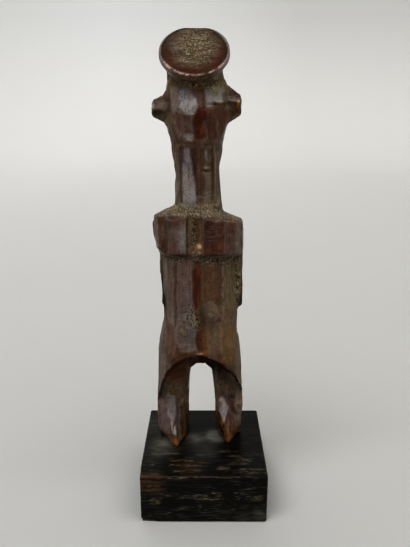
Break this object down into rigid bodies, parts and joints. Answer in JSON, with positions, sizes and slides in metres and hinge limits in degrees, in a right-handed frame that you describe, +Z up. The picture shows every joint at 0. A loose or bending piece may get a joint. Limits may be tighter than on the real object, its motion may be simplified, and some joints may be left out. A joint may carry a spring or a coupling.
{
  "type": "power figure",
  "caption": "Small standing figure carved from one piece of dark wood, with a tilted disc coiffure, peg ears and a broad shoulder band, on a square black block.",
  "frame": {"origin": "middle of the underside of the plinth", "axes": "+Z up, +Y out of the figure's face and toes, +X towards the figure's right hand"},
  "size_m": [0.0466, 0.0466, 0.1712],
  "materials": {
    "carved_wood": "dark red-brown hand-carved wood with a rubbed, semi-gloss patina, worn orange-brown on edges and dusty in the hollows",
    "black_wood": "ebonised wood, satin, with fine pale pore streaks and brown wear at the edges"
  },
  "bodies": {
    "root": {"carved_figure": "carved_wood", "plinth": "black_wood"}
  },
  "joints": []
}
